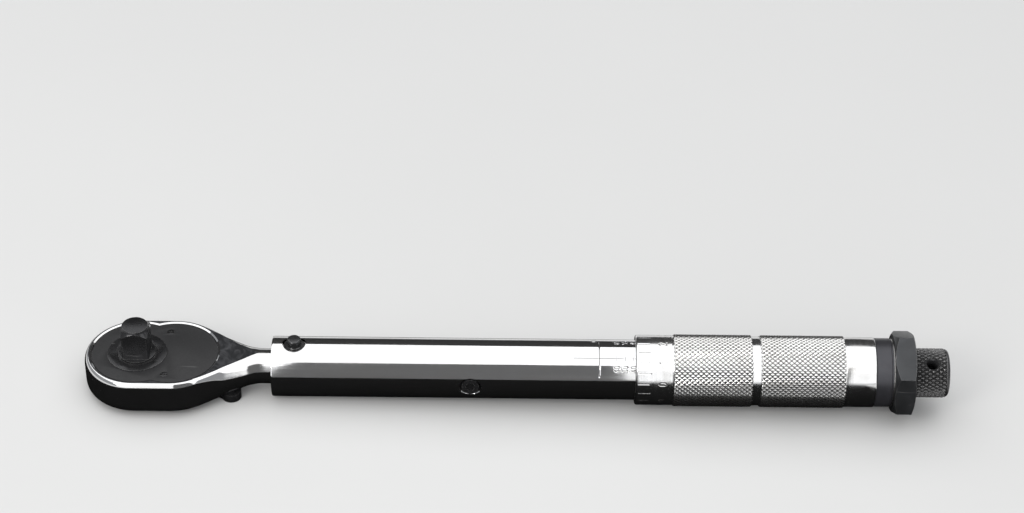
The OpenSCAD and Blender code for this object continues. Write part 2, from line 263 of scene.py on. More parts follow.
def plate_black():
    """Satin black of the cover plate and the drive's flange, with a few fine scratches."""
    s = Shader("plate_black", (0.03, 0.03, 0.031), 0.2, 0.6)
    dust = s.noise(1100, detail=4)
    haze = s.noise(50, detail=3)
    scratch = s.noise(260, stretch=(0.1, 1.6, 1), detail=2, distortion=1.4)
    tone = s.mix(s.spread(haze, 0.3, 0.7, 0, 1), (0.018, 0.018, 0.019), (0.024, 0.024, 0.025))
    fine = s.math("MULTIPLY", s.spread(scratch, 0.72, 0.77, 0, 1), 0.3)
    edge = s.math("MULTIPLY", s.edges(0.0002), 0.22)
    s.link(s.mix(s.math("MAXIMUM", edge, fine), tone, (0.3, 0.3, 0.3)), "Base Color")
    s.link(s.spread(dust, 0.3, 0.7, 0.52, 0.66), "Roughness")
    s.bump(dust, 0.00001)
    return s.material


def bare_steel():
    s = Shader("bare_steel", (0.5, 0.5, 0.5), 1.0, 0.3)
    brush = s.noise(1400, stretch=(0.04, 1, 1), detail=3)
    oil = s.noise(80, detail=4)
    s.link(s.mix(s.spread(oil, 0.35, 0.7, 0, 1), (0.56, 0.56, 0.56), (0.4, 0.385, 0.36)),
           "Base Color")
    s.link(s.spread(brush, 0.3, 0.7, 0.22, 0.42), "Roughness")
    s.bump(brush, 0.000012)
    return s.material


def bearing_bronze():
    s = Shader("bearing_bronze", (0.52, 0.33, 0.16), 1.0, 0.32)
    tarnish = s.noise(300, detail=5)
    s.link(s.mix(s.spread(tarnish, 0.35, 0.7, 0, 1), (0.6, 0.39, 0.19), (0.33, 0.2, 0.1)),
           "Base Color")
    s.link(s.spread(tarnish, 0.3, 0.7, 0.25, 0.45), "Roughness")
    s.bump(tarnish, 0.00001)
    return s.material


def black_rubber():
    s = Shader("black_rubber", (0.02, 0.02, 0.02), 0.0, 0.7)
    grain = s.noise(2500, detail=4)
    s.link(s.mix(grain, (0.012, 0.012, 0.012), (0.035, 0.035, 0.035)), "Base Color")
    s.link(s.spread(grain, 0.3, 0.7, 0.6, 0.82), "Roughness")
    s.bump(grain, 0.00003)
    return s.material


def bush_black():
    """Glossy blackened bush with fine turning rings."""
    s = Shader("bush_black", (0.055, 0.055, 0.062), 0.6, 0.36)
    rings = s.noise(1800, stretch=(1, 0.02, 0.02), detail=3)
    dust = s.noise(90, detail=3)
    s.link(s.mix(s.spread(dust, 0.35, 0.75, 0, 1), (0.05, 0.05, 0.057), (0.075, 0.075, 0.082)),
           "Base Color")
    s.link(s.math("ADD", s.spread(rings, 0.3, 0.7, 0.3, 0.38), s.spread(dust, 0.4, 0.8, 0, 0.05)),
           "Roughness")
    s.bump(rings, 0.00001)
    return s.material


def groove_chrome():
    """The sides and bottoms of the knurl's grooves, darker and rougher than the diamonds: painted shade in the
    grooves.
    """
    s = Shader("groove_chrome", (0.2, 0.195, 0.19), 1.0, 0.42)
    grime = s.noise(400, detail=5)
    s.link(s.mix(s.spread(grime, 0.3, 0.7, 0, 1), (0.26, 0.255, 0.25), (0.11, 0.105, 0.1)),
           "Base Color")
    s.link(s.spread(grime, 0.3, 0.7, 0.35, 0.55), "Roughness")
    return s.material


CHROME = polished_chrome()
GROUND = ground_chrome()
KNURL = knurl_chrome()
STAMP_SHADE = groove_dirt()
OXIDE = black_oxide()
CAST_PAINTED_DARK = cast_black()
PLATE = plate_black()
NUT_OXIDE = black_oxide("nut_oxide", (0.055, 0.057, 0.06), 0.38, 0.8)
KNOB_OXIDE = black_oxide("knob_oxide", (0.07, 0.07, 0.072), 0.24, 0.7)
STEEL = bare_steel()
BRONZE = bearing_bronze()
RUBBER = black_rubber()
BUSH = bush_black()


# ---------------------------------------------------------------- mesh tools


def finish_piece(name, mesh, materials, smooth=True, sharp_angle=35):
    """Makes an object of a mesh, with its materials and its shading."""
    piece = bpy.data.objects.new(name, mesh)
    bpy.context.collection.objects.link(piece)
    for m in materials:
        mesh.materials.append(m)
    mesh.polygons.foreach_set("use_smooth", [smooth] * len(mesh.polygons))
    if smooth:
        mesh.set_sharp_from_angle(angle=math.radians(sharp_angle))
    mesh.update()
    return piece


def mesh_of(name, verts, faces):
    mesh = bpy.data.meshes.new(name)
    mesh.from_pydata([tuple(v) for v in np.asarray(verts).reshape(-1, 3).tolist()], [], faces)
    mesh.validate()
    return mesh


def ring_faces(rings, around, closed_rings=False):
    """Quads of a grid of rings, each ring closed on itself, wound for outward normals."""
    i = np.arange(rings if closed_rings else rings - 1)[:, None]
    j = np.arange(around)[None, :]
    nxt_i, nxt_j = (i + 1) % rings, (j + 1) % around
    quads = np.stack([i * around + j, i * around + nxt_j, nxt_i * around + nxt_j,
                      nxt_i * around + j], axis=-1)
    return quads.reshape(-1, 4)


def turned_verts(xs, radii, angles):
    """Points at x, radius r and angle a round the tube's axis. Angle 0 faces -Y, 90 degrees +Z."""
    x, r, a = np.broadcast_arrays(np.asarray(xs)[:, None], radii, np.asarray(angles)[None, :])
    return np.stack([x, -r * np.cos(a), AXIS_Z + r * np.sin(a)], axis=-1)


def ring_angles(count):
    return np.arange(count) * TURN / count


def turned(name, profile, materials, around=160, axis="x", centre=(0, 0), sharp_angle=35):
    """A closed solid turned from (place, radius) points along an axis. Radius 0 closes an end."""
    angles = ring_angles(around)
    points = np.array(profile, dtype=float)
    verts, faces, rows = [], [], []
    for place, r in points:
        rows.append(len(verts))
        ring = [0.0] if r <= 0 else angles
        for a in ring:
            if axis == "x":
                verts.append((place, -r * math.cos(a), AXIS_Z + r * math.sin(a)))
            else:
                verts.append((centre[0] + r * math.cos(a), centre[1] + r * math.sin(a), place))
    count = len(points)
    closed = points[0][1] > 0 and points[-1][1] > 0
    for k in range(count if closed else count - 1):
        a0, b0 = rows[k], rows[(k + 1) % count]
        a_tip, b_tip = points[k][1] <= 0, points[(k + 1) % count][1] <= 0
        for j in range(around):
            n = (j + 1) % around
            if a_tip and b_tip:
                continue
            if a_tip:
                faces.append((a0, b0 + n, b0 + j))
            elif b_tip:
                faces.append((a0 + j, a0 + n, b0))
            else:
                faces.append((a0 + j, a0 + n, b0 + n, b0 + j))
    mesh = mesh_of(name, verts, faces)
    outward(mesh)
    return finish_piece(name, mesh, materials, sharp_angle=sharp_angle)


def outward(mesh):
    """Turns every face of a closed mesh outward."""
    b = bmesh.new()
    b.from_mesh(mesh)
    bmesh.ops.recalc_face_normals(b, faces=b.faces)
    b.to_mesh(mesh)
    b.free()


def apply_modifiers(piece):
    """Replaces a piece's mesh with its evaluated one and clears its modifiers."""
    evaluated = piece.evaluated_get(bpy.context.evaluated_depsgraph_get())
    mesh = bpy.data.meshes.new_from_object(evaluated)
    piece.modifiers.clear()
    piece.data = mesh


def cut(piece, *cutters):
    """Subtracts the cutters from a piece and deletes them."""
    for cutter in cutters:
        m = piece.modifiers.new("cut", "BOOLEAN")
        m.operation = "DIFFERENCE"
        m.solver = "EXACT"
        m.object = cutter
        apply_modifiers(piece)
        bpy.data.objects.remove(cutter, do_unlink=True)


def beveled(node, width, materials, segments=2, angle=28):
    """A copy of a CAD node with small rounded edges, which stands in for it."""
    mesh = frame["nodes"][node].data.copy()
    mesh.materials.clear()
    b = bmesh.new()
    b.from_mesh(mesh)
    bmesh.ops.remove_doubles(b, verts=b.verts, dist=1e-6)
    bmesh.ops.dissolve_limit(b, angle_limit=math.radians(1), verts=b.verts, edges=b.edges)
    b.to_mesh(mesh)
    b.free()
    piece = bpy.data.objects.new(node + "_shell", mesh)
    bpy.context.collection.objects.link(piece)
    m = piece.modifiers.new("edge", "BEVEL")
    m.width = width
    m.segments = segments
    m.limit_method = "ANGLE"
    m.angle_limit = math.radians(angle)
    m.harden_normals = False
    apply_modifiers(piece)
    mesh = piece.data
    bpy.data.objects.remove(piece, do_unlink=True)
    return finish_piece(node + "_shell", mesh, materials, sharp_angle=40)


def install(piece, body, slot, *nodes):
    """Rides a piece on a body, in place of the CAD nodes it stands for."""
    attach(piece, body)
    if nodes:
        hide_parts(*nodes)
    return piece


def coil(name, start, end, radius, wire, turns, material, centre=(0, 0, 0), direction=(1, 0, 0)):
    """A closed and ground compression spring along a direction from centre."""
    along = Vector(direction).normalized()
    side = along.orthogonal().normalized()
    up = along.cross(side)
    steps, section = 28, 10
    total = int(turns * steps)
    dead = 0.9  # turns at each end that touch the next one
    span = end - start - wire
    pitch = (span - 2 * dead * wire) / (turns - 2 * dead)
    verts = []
    for k in range(total + 1):
        t = k / steps
        flat = min(t, dead)
        climb = min(max(t - dead, 0), turns - 2 * dead)
        rest = max(t - (turns - dead), 0)
        place = start + wire / 2 + (flat + rest) * wire + climb * pitch
        a = t * TURN
        out = side * math.cos(a) + up * math.sin(a)
        middle = Vector(centre) + along * place + out * (radius - wire / 2)
        for j in range(section):
            b = j * TURN / section
            verts.append(middle + out * (math.cos(b) * wire / 2) + along * (math.sin(b) * wire / 2))
    faces = ring_faces(total + 1, section).tolist()
    faces.append(list(range(section)))
    faces.append([total * section + j for j in reversed(range(section))])
    mesh = mesh_of(name, np.array([tuple(v) for v in verts]), faces)
    outward(mesh)
    return finish_piece(name, mesh, [material], sharp_angle=60)


def smooth_step(value, start, end):
    t = np.clip((np.asarray(value, dtype=float) - start) / (end - start), 0, 1)
    return t * t * (3 - 2 * t)


def prism(name, outline, z0, z1):
    """A closed prism over a convex or star-shaped outline of (x, y) points."""
    n = len(outline)
    verts = [(x, y, z) for z in (z0, z1) for x, y in outline]
    faces = [tuple(reversed(range(n))), tuple(range(n, 2 * n))]
    faces += [(i, (i + 1) % n, n + (i + 1) % n, n + i) for i in range(n)]
    mesh = mesh_of(name, verts, faces)
    outward(mesh)
    return finish_piece(name, mesh, [])


def disc(x, y, r, count=96):
    return [(x + r * math.cos(a), y + r * math.sin(a)) for a in ring_angles(count)]


def post(name, x, y, r, z0, z1, top_r=None):
    """An upright cylinder, or a cone frustum if top_r is given."""
    piece = prism(name, disc(x, y, r), z0, z1)
    if top_r:
        count = len(piece.data.vertices) // 2
        for v in list(piece.data.vertices)[count:]:
            v.co.x = x + (v.co.x - x) * top_r / r
            v.co.y = y + (v.co.y - y) * top_r / r
    return piece


# ---------------------------------------------------------------- ratchet head

NECK_R = 6.1 * MM
NECK_STOP = TUBE_X[0] + 0.8 * MM
TAPER = 0.496
LEAN = math.atan(TAPER)
TAPER_X = PLATE_SHIFT + HEAD_R * math.sin(LEAN)  # where the taper leaves the rear circle
NECK_END = TAPER_X + (HEAD_R * math.cos(LEAN) - NECK_R) / TAPER
WEB_APEX = NECK_END + 0.8 * MM  # where the flat web runs out on top of the neck
WEB_SLOPE = 0.69
RIM_INSET = 1.6 * MM  # the rim's crest, in from the outline
RIM_ROUND = 3.0 * MM  # how far down the rim's outer rounding goes
CREST = 0.7 * MM  # the rim's inner slope, from its crest down to the cover plate


def head_half_outline():
    """The head's outline from the neck's end round to the nose, on the +Y side."""
    soft = 0.45 * MM
    points = []
    for x in np.linspace(NECK_STOP, TAPER_X, 60):
        y = NECK_R + soft * math.log1p(math.exp((NECK_END - x) * TAPER / soft))
        points.append((x, min(y, HEAD_R)))
    for a in np.linspace(math.pi / 2 - LEAN, math.pi / 2, 16)[1:]:
        points.append((PLATE_SHIFT + HEAD_R * math.cos(a), HEAD_R * math.sin(a)))
    for x in np.linspace(PLATE_SHIFT, 0, 14)[1:]:
        points.append((x, HEAD_R))
    for a in np.linspace(math.pi / 2, math.pi, 46)[1:]:
        points.append((HEAD_R * math.cos(a), HEAD_R * math.sin(a)))
    return np.array(points)


def edge_profile(x, half_width, height, rows):
    """Insets and heights of the side from mid-height up to the top face, at one place."""
    web_round = half_width - WEB_SLOPE * (WEB_APEX - x) if x < WEB_APEX else half_width
    web_round = min(max(web_round, RIM_INSET), half_width)
    t = np.linspace(0, 1, rows)
    straight = np.clip(t / 0.3, 0, 1)
    arc = np.clip((t - 0.3) / 0.7, 0, 1) * math.pi / 2
    rim_inset = RIM_INSET * (1 - np.cos(arc))
    rim_height = (height - RIM_ROUND) * straight + RIM_ROUND * np.sin(arc)
    last = math.radians(58 + 32 * float(smooth_step(x, 37 * MM, WEB_APEX)))
    web_inset = web_round * (1 - np.cos(t * last)) / (1 - math.cos(last))
    web_height = height * np.sin(t * last) / math.sin(last)
    m = float(smooth_step(x, 21 * MM, 31 * MM))
    return rim_inset * (1 - m) + web_inset * m, rim_height * (1 - m) + web_height * m


def head_forging():
    """The chromed head and neck, lofted from its outline and hollowed for the ratchet."""
    half = head_half_outline()
    outline = np.concatenate([half, (half * (1, -1))[::-1][1:]])
    step = np.gradient(outline, axis=0)
    inward = np.stack([-step[:, 1], step[:, 0]], axis=1)
    inward /= np.linalg.norm(inward, axis=1)[:, None]
    across = np.stack([np.zeros(len(outline)), -np.sign(outline[:, 1])], axis=1)
    turn = smooth_step(outline[:, 0], 23 * MM, 29 * MM)[:, None]
    inward = inward * (1 - turn) + across * turn
    inward /= np.linalg.norm(inward, axis=1)[:, None]

    rows = 17
    verts = []
    for (x, y), direction in zip(outline, inward):
        at_neck = float(smooth_step(x, 34 * MM, WEB_APEX))
        top = (HEAD_TOP - AXIS_Z) * (1 - at_neck) + NECK_R * at_neck
        bottom = (AXIS_Z - HEAD_BOTTOM) * (1 - at_neck) + NECK_R * at_neck
        up_in, up_z = edge_profile(x, abs(y), top, rows)
        down_in, down_z = edge_profile(x, abs(y), bottom, rows)
        insets = np.concatenate([down_in[::-1], up_in[1:]])
        heights = np.concatenate([-down_z[::-1], up_z[1:]])
        for inset, z in zip(insets, heights):
            px, py = np.array((x, y)) + direction * inset
            verts.append((px, py, AXIS_Z + z))
    count, column = len(outline), 2 * rows - 1
    faces = []
    for i in range(count - 1):
        for k in range(column - 1):
            a, b = i * column + k, (i + 1) * column + k
            faces.append((a, a + 1, b + 1, b))
    flat = [i for i, (x, _) in enumerate(outline) if x < WEB_APEX]
    flat = [flat[0] - 1] + flat
    faces.append([i * column + column - 1 for i in flat])
    faces.append([i * column for i in reversed(flat)])
    faces.append(list(range(column)) + [(count - 1) * column + k for k in reversed(range(column))])
    mesh = mesh_of("head_forging", verts, faces)
    weld(mesh, 2e-6)
    outward(mesh)
    piece = finish_piece("head_forging", mesh, [CHROME])

    recess = PLATE_R + 0.3 * MM
    for x in (0, PLATE_SHIFT):
        cut(piece, post("recess", x, 0, recess, PLATE_BOTTOM, 2 * MM))
        cut(piece, post("rim_slope", x, 0, recess, PLATE_TOP, HEAD_TOP + 0.1 * MM,
                        recess + CREST))
    floor = HEAD_BOTTOM + 2 * MM
    pin_x = centre_of("pawl_pin", 0)
    for name, x, r, z0 in (("gear_well", 0, 12.9, floor), ("pawl_well", 16.6 * MM, 10.6, floor),
                           ("spindle_well", SPINDLE_X, 4.4, floor),
                           ("gear_bore", 0, 7.05, HEAD_BOTTOM - MM),
                           ("spindle_bore", SPINDLE_X, 3.25, HEAD_BOTTOM - MM),
                           ("pin_bore", pin_x, 1.25, floor - 1.2 * MM)):
        cut(piece, post(name, x, 0, r * MM, z0, 2 * MM))
    screw_head_r = 1.25 * MM
    for y in (low("cover_screws").y + screw_head_r, high("cover_screws").y - screw_head_r):
        cut(piece, post("screw_bore", centre_of("cover_screws", 0), y, 0.82 * MM,
                        PLATE_BOTTOM - 6 * MM, 2 * MM))
    smooth_chrome(piece, 30)
    # The flat up-facing faces of the head's top take the near-black material: a painted dark reflection.
    piece.data.materials.append(CAST_PAINTED_DARK)
    for face in piece.data.polygons:
        if face.normal.z > 0.99 and abs(face.center.z - HEAD_TOP) < 0.05 * MM:
            face.material_index = len(piece.data.materials) - 1
    return piece


def weld(mesh, distance):
    b = bmesh.new()
    b.from_mesh(mesh)
    bmesh.ops.remove_doubles(b, verts=b.verts, dist=distance)
    bmesh.ops.dissolve_degenerate(b, edges=b.edges, dist=distance)
    b.to_mesh(mesh)
    b.free()


def smooth_chrome(piece, angle):
    """Smooth shading that keeps flat faces flat, so that reflections run clean to their edges."""
    mesh = piece.data
    mesh.polygons.foreach_set("use_smooth", [True] * len(mesh.polygons))
    mesh.set_sharp_from_angle(angle=math.radians(angle))
    m = piece.modifiers.new("weights", "WEIGHTED_NORMAL")
    m.keep_sharp = True
    m.weight = 70
    apply_modifiers(piece)


def lever_arm():
    """The arm behind the neck: it runs down the tube to the click block."""
    x0, x1 = NECK_STOP, HEAD_END
    boss_half = 7 * MM
    profile = [(x0, 0), (x0, NECK_R), (PIVOT_X - boss_half, NECK_R), (PIVOT_X - 5.5 * MM, 6.6 * MM),
               (PIVOT_X + 5.5 * MM, 6.6 * MM), (PIVOT_X + boss_half, 5 * MM), (x1 - 8 * MM, 5 * MM),
               (x1 - 6 * MM, 5.8 * MM), (x1 - 0.4 * MM, 5.8 * MM), (x1, 5.4 * MM), (x1, 0)]
    piece = turned("lever_arm", profile, [STEEL], around=72)
    cut(piece, post("bore", PIVOT_X, 0, 3.6 * MM, -20 * MM, 10 * MM))
    pocket = 3.35 * MM
    block = [(x1 - MM, -pocket), (x1 + MM, -pocket), (x1 + MM, pocket), (x1 - MM, pocket)]
    cut(piece, prism("pocket", block, AXIS_Z - pocket, AXIS_Z + pocket))
    return piece


def cover_screw_pair():
    return beveled("cover_screws", 0.1 * MM, [OXIDE])


install(head_forging(), "head", "chrome", "ratchet_head")
install(lever_arm(), "head", "chrome", "ratchet_head")
install(beveled("cover_plate", 0.22 * MM, [PLATE]), "head", "black_oxide", "cover_plate")
install(cover_screw_pair(), "head", "black_oxide", "cover_screws")
install(beveled("drive_gear", 0.2 * MM, [OXIDE]), "drive", "black_oxide", "drive_gear")
install(beveled("reverse_lever", 0.5 * MM, [OXIDE]), "reverser", "black_oxide", "reverse_lever")


# ---------------------------------------------------------------- tube and its stamped scale

DIGITS = {  # strokes of each digit in a box one unit high
    "0": [[(.35, 0), (.08, .2), (.08, .8), (.35, 1), (.62, .8), (.62, .2), (.35, 0)]],
    "1": [[(.15, .78), (.42, 1), (.42, 0)]],
    "2": [[(.08, .8), (.35, 1), (.62, .75), (.08, 0), (.65, 0)]],
    "3": [[(.08, .88), (.35, 1), (.6, .78), (.32, .54), (.64, .26), (.35, 0), (.06, .12)]],
    "4": [[(.5, 0), (.5, 1), (.04, .32), (.68, .32)]],
    "5": [[(.6, 1), (.14, 1), (.1, .58), (.38, .64), (.64, .32), (.35, 0), (.06, .12)]],
    "6": [[(.56, .95), (.2, .7), (.07, .3), (.35, 0), (.63, .28), (.38, .56), (.1, .4)]],
    "7": [[(.06, 1), (.64, 1), (.26, 0)]],
    "8": [[(.35, .54), (.1, .77), (.35, 1), (.6, .77), (.35, .54), (.06, .26), (.35, 0),
           (.64, .26), (.35, .54)]],
    "9": [[(.14, .05), (.5, .3), (.63, .7), (.35, 1), (.07, .72), (.32, .44), (.6, .6)]],
}


def number_strokes(text, x, arc, height):
    """Stamped digits centred at (x, arc), read with the head end of the wrench up."""
    advance = 0.62 * height
    strokes = []
    for k, digit in enumerate(text):
        left = arc + (k - len(text) / 2) * advance + 0.08 * height
        for line in DIGITS[digit]:
            strokes.append([(x - (v - 0.5) * height, left + 0.68 * u * height) for u, v in line])
    return strokes


def stamp_depth(xs, arcs, strokes, half_width):
    """1 in the middle of a stamped line, 0 off it, and a little below 0 on the burr beside it."""
    grid_x, grid_a = np.meshgrid(xs, arcs, indexing="ij")
    nearest = np.full(grid_x.shape, 1.0)
    for line in strokes:
        for (x0, a0), (x1, a1) in zip(line, line[1:]):
            dx, da = x1 - x0, a1 - a0
            t = ((grid_x - x0) * dx + (grid_a - a0) * da) / max(dx * dx + da * da, 1e-12)
            t = np.clip(t, 0, 1)
            nearest = np.minimum(nearest, np.hypot(grid_x - x0 - t * dx, grid_a - a0 - t * da))
    reach = nearest / half_width
    groove = 1 - smooth_step(reach, 0.35, 1.0)
    burr = smooth_step(reach, 0.9, 1.25) * (1 - smooth_step(reach, 1.25, 1.9))
    return groove - 0.3 * burr


def stamped_ring(name, before, after, x0, x1, radius, strokes, around, depth, material,
                 line_width=0.36 * MM):
    """A turned closed solid with stamped lines on the stretch x0..x1 at the given radius.

    before and after are the rest of its closed profile, as (x, radius) points from inside to
    x0 and from x1 back inside."""
    spacing = radius * TURN / around
    xs = np.linspace(x0, x1, int((x1 - x0) / spacing) + 1)
    angles = ring_angles(around)
    half_width = line_width / 2
    marks = stamp_depth(xs, angles * radius, strokes, half_width)
    radii = [np.full(around, r) for _, r in before]
    radii += list(radius - depth * marks)
    radii += [np.full(around, r) for _, r in after]
    places = [x for x, _ in before] + list(xs) + [x for x, _ in after]
    verts = turned_verts(places, np.array(radii), angles)
    faces = ring_faces(len(places), around, closed_rings=True)
    mesh = mesh_of(name, verts, faces.tolist())
    outward(mesh)
    piece = finish_piece(name, mesh, [material, STAMP_SHADE], sharp_angle=50)
    # The deepest faces of the stamped lines take the second material: painted shade in the grooves.
    shade_in_marks = np.zeros((len(places), around), bool)
    shade_in_marks[len(before):len(before) + len(xs)] = marks > 0.8
    corners = np.array([list(p.vertices) for p in mesh.polygons])
    deep = shade_in_marks.reshape(-1)[corners].sum(axis=1) >= 3
    mesh.polygons.foreach_set("material_index", deep.astype(np.int32))
    return piece


def tube_shell():
    """The tube with its mouth rounded, its holes cut and a scale stamped on both sides."""
    bore_r = TUBE_R - 1.6 * MM
    limit_x = 161.1 * MM
    limit_from, limit_to = 25.9, 104  # degrees round the tube
    scale_x = (limit_x - 11 * MM, limit_x + 15 * MM)
    arc = TUBE_R * math.radians(1)
    strokes = []
    for side in (0, 180):
        datum = (61 + side) * arc
        strokes.append([(scale_x[0] + 2 * MM, datum), (scale_x[1], datum)])
        strokes.append([(limit_x, (limit_from + side) * arc), (limit_x, (limit_to + side) * arc)])
        for k, value in enumerate((60, 50, 40)):
            x = limit_x + (6 + 2.9 * k) * MM
            strokes.append([(x, datum - 0.9 * MM), (x, datum + 0.9 * MM)])
            strokes += number_strokes(str(value), x, (40 + side) * arc, 2.0 * MM)
            strokes += number_strokes(str(value + 5), x, (102 + side) * arc, 2.0 * MM)
        strokes += number_strokes("0", limit_x - 1.9 * MM, (108 + side) * arc, 2.1 * MM)
    x_a, x_b = TUBE_X
    lip = 0.45 * MM
    before = [(x_a + lip, bore_r), (x_a, bore_r + lip), (x_a, TUBE_R - lip),
              (x_a + 0.15 * lip, TUBE_R - 0.35 * lip), (x_a + lip, TUBE_R), (90 * MM, TUBE_R)]
    after = [(x_b - lip, TUBE_R), (x_b, TUBE_R - lip), (x_b, bore_r)]
    piece = stamped_ring("tube_shell", before, after, *scale_x, TUBE_R, strokes, 448, 0.1 * MM,
                         CHROME, 0.3 * MM)
    for side in (0, 180):
        cut(piece, limit_dot(limit_x, math.radians(limit_from + side)))
    cut(piece, post("pivot_seat", PIVOT_X, 0, 4.1 * MM, AXIS_Z, 10 * MM))
    cut(piece, post("pivot_thread", PIVOT_X, 0, 2.5 * MM, -30 * MM, AXIS_Z))
    cut(piece, post("set_bore", centre_of("nut_set_screws", 0), 0, 2 * MM, -30 * MM, 10 * MM))
    cut(piece, side_post("guide_seat", GUIDE_X))
    smooth_chrome(piece, 40)
    return piece


def limit_dot(x, angle):
    """Cutter for the small round dimple at the end of the limit line."""
    bpy.ops.mesh.primitive_uv_sphere_add(segments=24, ring_count=12, radius=0.65 * MM)
    ball = bpy.context.object
    ball.name = "limit_dot"
    reach = TUBE_R + 0.42 * MM
    ball.location = (x, -reach * math.cos(angle), AXIS_Z + reach * math.sin(angle))
    ball.data.materials.append(STEEL)
    bpy.context.view_layer.update()
    return ball


def side_post(name, x):
    """Cutter for the guide screw's threaded hole and its countersink on the -Y side."""
    profile = [(-12 * MM, 0), (-12 * MM, 4.6 * MM), (-TUBE_R, 4.0 * MM), (-9.3 * MM, 2.95 * MM),
               (-7 * MM, 2.95 * MM), (-7 * MM, 0)]
    count = 64
    verts, faces = [], []
    for y, r in profile[1:-1]:
        verts += [(x + r * math.cos(a), y, AXIS_Z + r * math.sin(a)) for a in ring_angles(count)]
    rings = len(profile) - 2
    faces += ring_faces(rings, count).tolist()
    faces.append(list(range(count)))
    faces.append([(rings - 1) * count + j for j in reversed(range(count))])
    mesh = mesh_of(name, verts, faces)
    outward(mesh)
    return finish_piece(name, mesh, [])


def pivot_screw_shell():
    """Black screw with a flat base in the tube's hole and a domed head."""
    top = high("pivot_screw").z
    seat = AXIS_Z + TUBE_R
    dome_r, round_r, flange_r = 2.45 * MM, 0.7 * MM, 3.75 * MM
    flange = seat - 0.85 * MM
    profile = [(low("pivot_screw").z, 0), (low("pivot_screw").z, 2.2 * MM),
               (low("pivot_screw").z + 0.3 * MM, 2.45 * MM), (AXIS_Z + 6.9 * MM, 2.45 * MM),
               (AXIS_Z + 6.9 * MM, flange_r), (flange - 0.2 * MM, flange_r),
               (flange, flange_r - 0.2 * MM), (flange, dome_r + 0.15 * MM),
               (flange + 0.15 * MM, dome_r)]
    for a in np.linspace(0, math.pi / 2, 8):
        profile.append((top - round_r + round_r * math.sin(a),
                        dome_r - round_r + round_r * math.cos(a)))
    profile.append((top, 0))
    return turned("pivot_screw_shell", profile, [KNOB_OXIDE], around=72, axis="z",
                  centre=(PIVOT_X, 0), sharp_angle=40)


install(tube_shell(), "tube_body", "chrome", "tube")
install(pivot_screw_shell(), "tube_body", "black_oxide", "pivot_screw")


# ---------------------------------------------------------------- handle

KNURL_A = (SLEEVE_X[0] + 13.2 * MM, 214.4 * MM)  # the two knurled bands
KNURL_B = (217.2 * MM, 246.7 * MM)
KNURL_AROUND = 48
KNURL_PITCH = 1.885 * MM
KNURL_DEPTH = 0.27 * MM
GROOVE_LEVEL = -0.74  # as a share of the depth, below the diamonds' tops
THIMBLE_R = 12.2 * MM
SCREW_BORE_R = 6.02 * MM  # on the adjusting screw
SLEEVE_STEP_X = 248 * MM  # where the sleeve's bore narrows from the tube's to the screw's
BUSH_R = 12.0 * MM
KNOB_AROUND = 34
KNOB_PITCH = 2.5 * MM
KNOB_DEPTH = 0.6 * MM
KNOB_ROUND = 1.2 * MM
COUNTERSINK = 0.75 * MM  # depth of the cross hole's countersinks


def knurled(name, x0, x1, radius, around, along, depth, core_r, materials, samples=6,
            end_bevel=0.35 * MM, flat_top=0.8):
    """A closed ring whose outside is cut by two families of crossing helical grooves.

    around and along count the grooves, samples is the mesh's steps from one to the next, and
    flat_top is how far up a groove's side goes before the diamond's top is flat. A second
    material, if there is one, goes to the grooves."""
    rows, columns = round(along * samples) + 1, around * samples
    xs = np.linspace(x0, x1, rows)
    turns = np.arange(columns) / samples
    steps = np.arange(rows) / samples
    forward = (turns[None, :] + steps[:, None]) % 1
    backward = (turns[None, :] - steps[:, None]) % 1
    rise = np.minimum(1 - abs(2 * forward - 1), 1 - abs(2 * backward - 1))
    height = np.minimum(rise, flat_top) / flat_top - 1
    from_end = np.minimum(xs - x0, x1 - xs)[:, None]
    surface = radius + depth * height - np.maximum(end_bevel - from_end, 0)
    angles = ring_angles(columns)
    outer = turned_verts(xs, surface, angles).reshape(-1, 3)
    inner = turned_verts([x1, x0], np.full((2, columns), core_r), angles).reshape(-1, 3)
    i, j = np.meshgrid(np.arange(rows - 1), np.arange(columns), indexing="ij")
    nj = (j + 1) % columns
    a, b, c, d = i * columns + j, (i + 1) * columns + j, (i + 1) * columns + nj, i * columns + nj
    flat = surface.reshape(-1)
    along_ac = (flat[a] + flat[c] < flat[b] + flat[d])[..., None]
    first = np.where(along_ac, np.stack([a, b, c], -1), np.stack([a, b, d], -1))
    second = np.where(along_ac, np.stack([a, c, d], -1), np.stack([b, c, d], -1))
    triangles = np.concatenate([first.reshape(-1, 3), second.reshape(-1, 3)])
    rear, front = rows * columns, rows * columns + columns
    ring = np.arange(columns)
    nxt = (ring + 1) % columns
    last = (rows - 1) * columns
    closing = np.concatenate([
        np.stack([last + ring, rear + ring, rear + nxt, last + nxt], -1),
        np.stack([rear + ring, front + ring, front + nxt, rear + nxt], -1),
        np.stack([front + ring, ring, nxt, front + nxt], -1)])
    mesh = mesh_of(name, np.concatenate([outer, inner]), triangles.tolist() + closing.tolist())
    piece = finish_piece(name, mesh, materials, smooth=False)
    if len(materials) > 1:
        # Faces deep in the grooves take the second material: painted shade where the grooves' shade falls.
        in_groove = height.reshape(-1)[triangles].mean(axis=1) < GROOVE_LEVEL
        index = np.concatenate([in_groove, np.zeros(len(closing), bool)]).astype(np.int32)
        mesh.polygons.foreach_set("material_index", index)
    return piece


